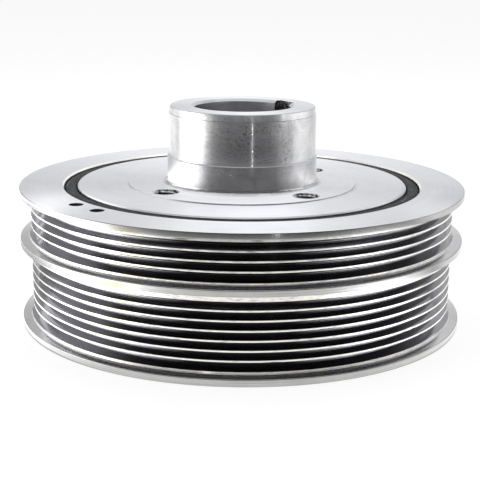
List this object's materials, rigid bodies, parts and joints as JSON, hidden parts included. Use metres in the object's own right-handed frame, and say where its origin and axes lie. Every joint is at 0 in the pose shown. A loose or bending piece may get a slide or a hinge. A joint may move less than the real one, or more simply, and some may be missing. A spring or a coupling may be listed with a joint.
{
  "type": "harmonic balancer",
  "caption": "Crankshaft harmonic balancer: keyed sleeve hub, rubber ring and grooved inertia ring with two multi-rib belt tracks.",
  "frame": {"origin": "on the shaft axis, at the front face of the inertia ring, on which it rests", "axes": "+Z runs along the shaft axis from the front face towards the engine, +X is 32 degrees before the keyway"},
  "size_m": [0.1745, 0.1746, 0.084],
  "materials": {
    "hub_iron": "turned bright, ground journal",
    "rubber": "moulded, satin",
    "ring_iron": "turned bright"
  },
  "bodies": {
    "root": {"hub": "hub_iron", "damper_rubber": "rubber", "pulley_ring": "ring_iron"}
  },
  "joints": []
}
